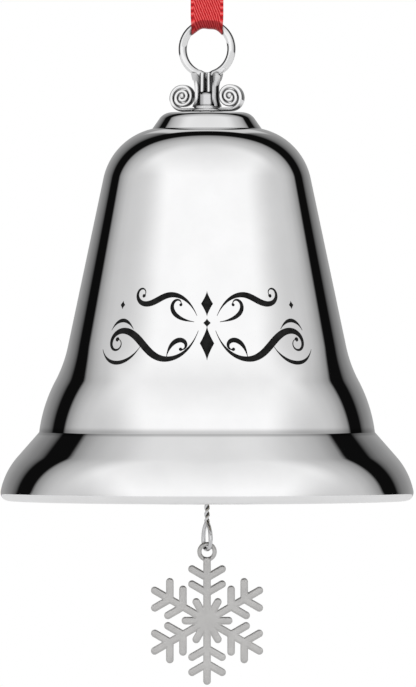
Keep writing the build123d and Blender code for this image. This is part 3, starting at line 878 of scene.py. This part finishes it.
def make_snowflake():
    """One closed mesh: bars with sloping edges, a flat hub, and the eye on the top arm."""
    eye = Vector((0, EYE_HEIGHT - CHARM_HEIGHT))
    half_x, low, high = 10.9, -12.2, eye[1] + EYE_R + 0.3
    xs = np.arange(-half_x, half_x + GRID, GRID)
    ys = np.arange(low, high + GRID, GRID)
    x, y = np.meshgrid(xs, ys)

    def fields(x, y):
        """(distance outside the outline, half thickness) at each point."""
        top = np.full(x.shape, -1.0)
        out = np.full(x.shape, 99.0)

        def add(distance, half):
            nonlocal top, out
            depth = np.clip(-distance / CHARM_BEVEL, 0, 1)
            drop = CHARM_DROP * (1 - depth) ** 1.7
            top = np.where(distance < 0.02, np.maximum(top, half - drop), top)
            out = np.minimum(out, distance)

        for a, b, half in snowflake_parts():
            way = b - a
            t = np.clip(((x - a[0]) * way[0] + (y - a[1]) * way[1]) / way.length_squared, 0, 1)
            add(np.hypot(x - a[0] - t * way[0], y - a[1] - t * way[1]) - half, CHARM_HALF)
        add(np.hypot(x, y) - HUB_R, CHARM_HALF)
        round_eye = np.hypot(x - eye[0], y - eye[1])
        middle, half_bar = (EYE_R + EYE_HOLE_R) / 2, (EYE_R - EYE_HOLE_R) / 2
        add(np.abs(round_eye - middle) - half_bar, EYE_HALF)
        out = np.maximum(out, EYE_HOLE_R - 0.02 - round_eye)
        return out, np.maximum(top, EYE_HALF - CHARM_DROP)

    out, top = fields(x, y)
    points, faces = [], []
    index = {}

    def corner(i, j):
        """The number of the pair of points, front and back, at a grid point."""
        key = (i, j)
        if key not in index:
            index[key] = len(points) // 2
            add_pair(x[i, j], y[i, j], top[i, j])
        return index[key]

    def crossing(i, j, k, l):
        """The same where the outline crosses the line between two grid points."""
        key = (i, j, k, l) if (i, j) < (k, l) else (k, l, i, j)
        if key not in index:
            t = out[i, j] / (out[i, j] - out[k, l])
            px = x[i, j] + t * (x[k, l] - x[i, j])
            py = y[i, j] + t * (y[k, l] - y[i, j])
            edge_top = fields(np.array([px]), np.array([py]))[1][0]
            index[key] = len(points) // 2
            add_pair(px, py, edge_top)
        return index[key]

    def add_pair(px, py, half):
        points.append(place(px, -half, CHARM_HEIGHT + py))
        points.append(place(px, half, CHARM_HEIGHT + py))

    inside = out < 0
    any_in = inside[:-1, :-1] | inside[1:, :-1] | inside[:-1, 1:] | inside[1:, 1:]
    for i, j in zip(*np.nonzero(any_in)):
        ring = [(i, j), (i, j + 1), (i + 1, j + 1), (i + 1, j)]
        polygon, cuts = [], []
        for k in range(4):
            a, b = ring[k], ring[(k + 1) % 4]
            if inside[a]:
                polygon.append(corner(*a))
            if inside[a] != inside[b]:
                cut = crossing(*a, *b)
                polygon.append(cut)
                cuts.append((cut, bool(inside[a])))
        if len(polygon) < 3:
            continue
        faces.append(tuple(2 * p for p in polygon))
        faces.append(tuple(2 * p + 1 for p in reversed(polygon)))
        if len(cuts) == 2:
            leaving = next(c for c, was_in in cuts if was_in)
            entering = next(c for c, was_in in cuts if not was_in)
            faces.append((2 * entering, 2 * leaving, 2 * leaving + 1, 2 * entering + 1))
    charm = mesh_piece("snowflake_satin", points, faces, nickel)
    charm.data.set_sharp_from_angle(angle=math.radians(50))
    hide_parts("snowflake_charm")
    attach(charm, "snowflake")


# ---------------------------------------------------------------- ribbon
RIBBON_THICK = 0.26
STRAND_COLUMNS = 33
FOLD_R = RING_R - RING_HALF_BAR - 0.16      # under the bar, from the ring's centre
ARCH_R = 4.2                                # curve of the fold along the bar
STRAND_OUT = RING_HALF_DEPTH + 0.28
SKEW = THROUGH.x / THROUGH.y                # the strands leave straight to the front and back
# the route of one strand, from under the ring's bar up to the knot: (off the ring's plane, height)
STRAND_ROUTE = [(0.0, RING_HEIGHT + FOLD_R), (STRAND_OUT, RING_HEIGHT + FOLD_R),
                (STRAND_OUT, 88.6), (1.72, 92.5), (1.95, HANG_HEIGHT - 3.2),
                (0.3, HANG_HEIGHT + 2.0)]
KNOT_LOW = HANG_HEIGHT + 2.0
KNOT_MIDDLE = KNOT_LOW + 3.3
KNOT_BANDS = ((24, -0.7, 3.4), (-22, 0.8, 3.6), (4, 0.1, 2.6))     # tilt, lift and width of each
KNOT_REACH = (3.7, 1.75)    # of a band, along and across the knot
TAIL_LENGTH, TAIL_NOTCH, TAIL_FAN = 15.0, 2.6, 16.0


def route_line(points):
    """Evenly sampled points of the smooth line through a route's control points."""
    curve = bpy.data.curves.new("route", "CURVE")
    curve.dimensions = "3D"
    spline = curve.splines.new("NURBS")
    spline.points.add(len(points) - 1)
    for control, (out, height) in zip(spline.points, points):
        control.co = (out, height, 0, 1)
    spline.order_u = 3
    spline.use_endpoint_u = True
    spline.resolution_u = 40
    holder = bpy.data.objects.new("route", curve)
    mesh = bpy.data.meshes.new_from_object(holder)
    line = [(v.co.x, v.co.y) for v in mesh.vertices]
    bpy.data.objects.remove(holder)
    bpy.data.meshes.remove(mesh)
    return line


def arch(u, height):
    """(across, drop) of a ribbon point: flat above the ring, curved to the ring under its bar."""
    bent = 1 - smooth(RING_HEIGHT + 4.2, RING_HEIGHT + 6.4, height)
    across = u * (1 - 0.055 * bent)
    drop = ARCH_R - math.sqrt(ARCH_R ** 2 - across ** 2)
    ripple = 0.09 * math.sin(2.1 * u + 0.7) * bent
    return across, bent * drop + ripple


def strand_mesh(name, sign, line):
    """One strand of the ribbon, with its thickness, and its path through the middle."""
    points, uvs, path = [], [], []
    run = 0.0
    for i, (out, height) in enumerate(line):
        before, after = line[max(i - 1, 0)], line[min(i + 1, len(line) - 1)]
        way = Vector((after[0] - before[0], after[1] - before[1])).normalized()
        normal = Vector((way[1], -way[0]))
        if i:
            run += math.dist(line[i], line[i - 1])
        path.append(place_turned(-sign * out * SKEW, sign * out, height))
        layers = []
        for face in (1, -1):
            for j in range(STRAND_COLUMNS):
                u = RIBBON_WIDTH * (-0.5 + j / (STRAND_COLUMNS - 1))
                across, drop = arch(u, height)
                rolled = 0.04 * math.cos(0.9 * height + 0.5 * u) * smooth(91, 96, height)
                half = RIBBON_THICK / 2 * (1 - 0.5 * smooth(2.9, 3.17, abs(u)))
                away = out + normal[0] * half * face + rolled
                layers.append((place_turned(across - sign * out * SKEW, sign * away,
                                            height - drop + normal[1] * half * face), (u, run)))
        ring = layers[:STRAND_COLUMNS] + layers[:STRAND_COLUMNS - 1:-1]
        points += [p for p, _ in ring]
        uvs += [uv for _, uv in ring]
    faces = tube_faces(len(line), 2 * STRAND_COLUMNS, flip=sign > 0)
    faces += tube_ends(len(line), 2 * STRAND_COLUMNS, flip=True)
    return mesh_piece(name, points, faces, red_satin, uvs), path


def make_knot():
    """The knot: three bands of ribbon wound round a core."""
    knot_parts = []
    for tilt, lift, wide in KNOT_BANDS:
        loop = []
        for i in range(72):
            angle = 2 * math.pi * i / 72
            u, v = KNOT_REACH[0] * math.cos(angle), KNOT_REACH[1] * math.sin(angle)
            rise = math.tan(math.radians(tilt)) * u + lift
            loop.append(place_turned(u, v, KNOT_MIDDLE + rise + 0.25 * math.sin(3 * angle + tilt)))
        verts, faces = sweep_along(loop, soft_box(wide / 2, 0.375, 4.0, 20), UP, closed=True)
        uvs = [(wide * (k % 20 / 20 - 0.5), 3 + 0.25 * (k // 20)) for k in range(len(verts))]
        knot_parts.append(mesh_piece("band", verts, faces, red_satin, uvs))
    core = []
    for i in range(13):
        t = i / 12
        core.append(place_turned(0.3 * math.sin(3 * t), 0, KNOT_LOW - 0.6 + 7.4 * t))
    verts, faces = sweep_along(core, soft_box(2.6, 1.25, 2.6, 28), ACROSS)
    uvs = [(2.6 * math.cos(2 * math.pi * (k % 28) / 28), 3 + 0.55 * (k // 28))
           for k in range(len(verts))]
    knot_parts.append(mesh_piece("core", verts, faces, red_satin, uvs))
    knot = joined("ribbon_knot_tied", knot_parts)
    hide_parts("ribbon_knot")
    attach(knot, "ribbon")
    return knot


def make_tails():
    """The ribbon's two cut ends above the knot, fanned out and notched."""
    tails = []
    for sign in (1, -1):
        rows, columns = 40, 17
        fan = math.radians(sign * TAIL_FAN)
        points, uvs = [], []
        for i in range(rows):
            t = i / (rows - 1)
            for j in range(2 * columns):
                k = j if j < columns else 2 * columns - 1 - j
                face = 1 if j < columns else -1
                u = RIBBON_WIDTH * (-0.5 + k / (columns - 1))
                notch = TAIL_NOTCH * (1 - abs(u) / (RIBBON_WIDTH / 2))
                rise = (TAIL_LENGTH - notch) * t
                across = u * (0.55 + 0.45 * smooth(0.0, 0.35, t))
                out = 0.9 + 1.1 * math.sin(1.4 * t) + 0.35 * math.sin(5.0 * t + 0.4 * u)
                turned_u = sign * 0.6 + across * math.cos(fan) + rise * math.sin(fan)
                turned_h = rise * math.cos(fan) - across * math.sin(fan)
                points.append(place_turned(turned_u, -sign * (out + face * RIBBON_THICK / 2),
                                           KNOT_LOW + 6.2 + turned_h))
                uvs.append((u, 3 + rise))
        faces = tube_faces(rows, 2 * columns, flip=sign < 0)
        faces += tube_ends(rows, 2 * columns, flip=True)
        tails.append(mesh_piece("tail", points, faces, red_satin, uvs))
    both_tails = joined("ribbon_tails_cut", tails)
    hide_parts("ribbon_tails")
    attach(both_tails, "ribbon")
    return both_tails


def make_ribbon():
    """The two strands, the knot and the tails. The knot and the tails ride on the ribbon's body."""
    line = route_line(STRAND_ROUTE)
    knot, both_tails = make_knot(), make_tails()
    for name, sign, cad in (("ribbon_front", -1, ["ribbon_front_strand", "ribbon_bight"]),
                            ("ribbon_back", 1, ["ribbon_back_strand"])):
        piece, path = strand_mesh(name, sign, line)
        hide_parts(*cad)
        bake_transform(piece)


# ---------------------------------------------------------------- CAD nodes that stay
def finish_cad(name, material):
    """A CAD node that keeps its shape and gets its own material."""
    obj = frame["nodes"][name]
    obj.data.materials.clear()
    obj.data.materials.append(material)


# the polished shoulder shows no image of these
NOT_REFLECTED = ("scroll_finial_cast", "ribbon_front", "ribbon_back", "ribbon_knot_tied",
                 "ribbon_tails_cut")

make_world()
make_floor()
make_flourish(make_bell())
make_finial()
make_clapper()
make_snowflake()
make_ribbon()
for part_name in ("crown_washer", "crown_nut", "eye_screw", "clapper_link", "upper_stop",
                  "lower_stop"):
    finish_cad(part_name, bright_steel)
finish_cad("clapper_ball", brass)

for piece_name in NOT_REFLECTED:
    bpy.data.objects[piece_name].visible_glossy = False
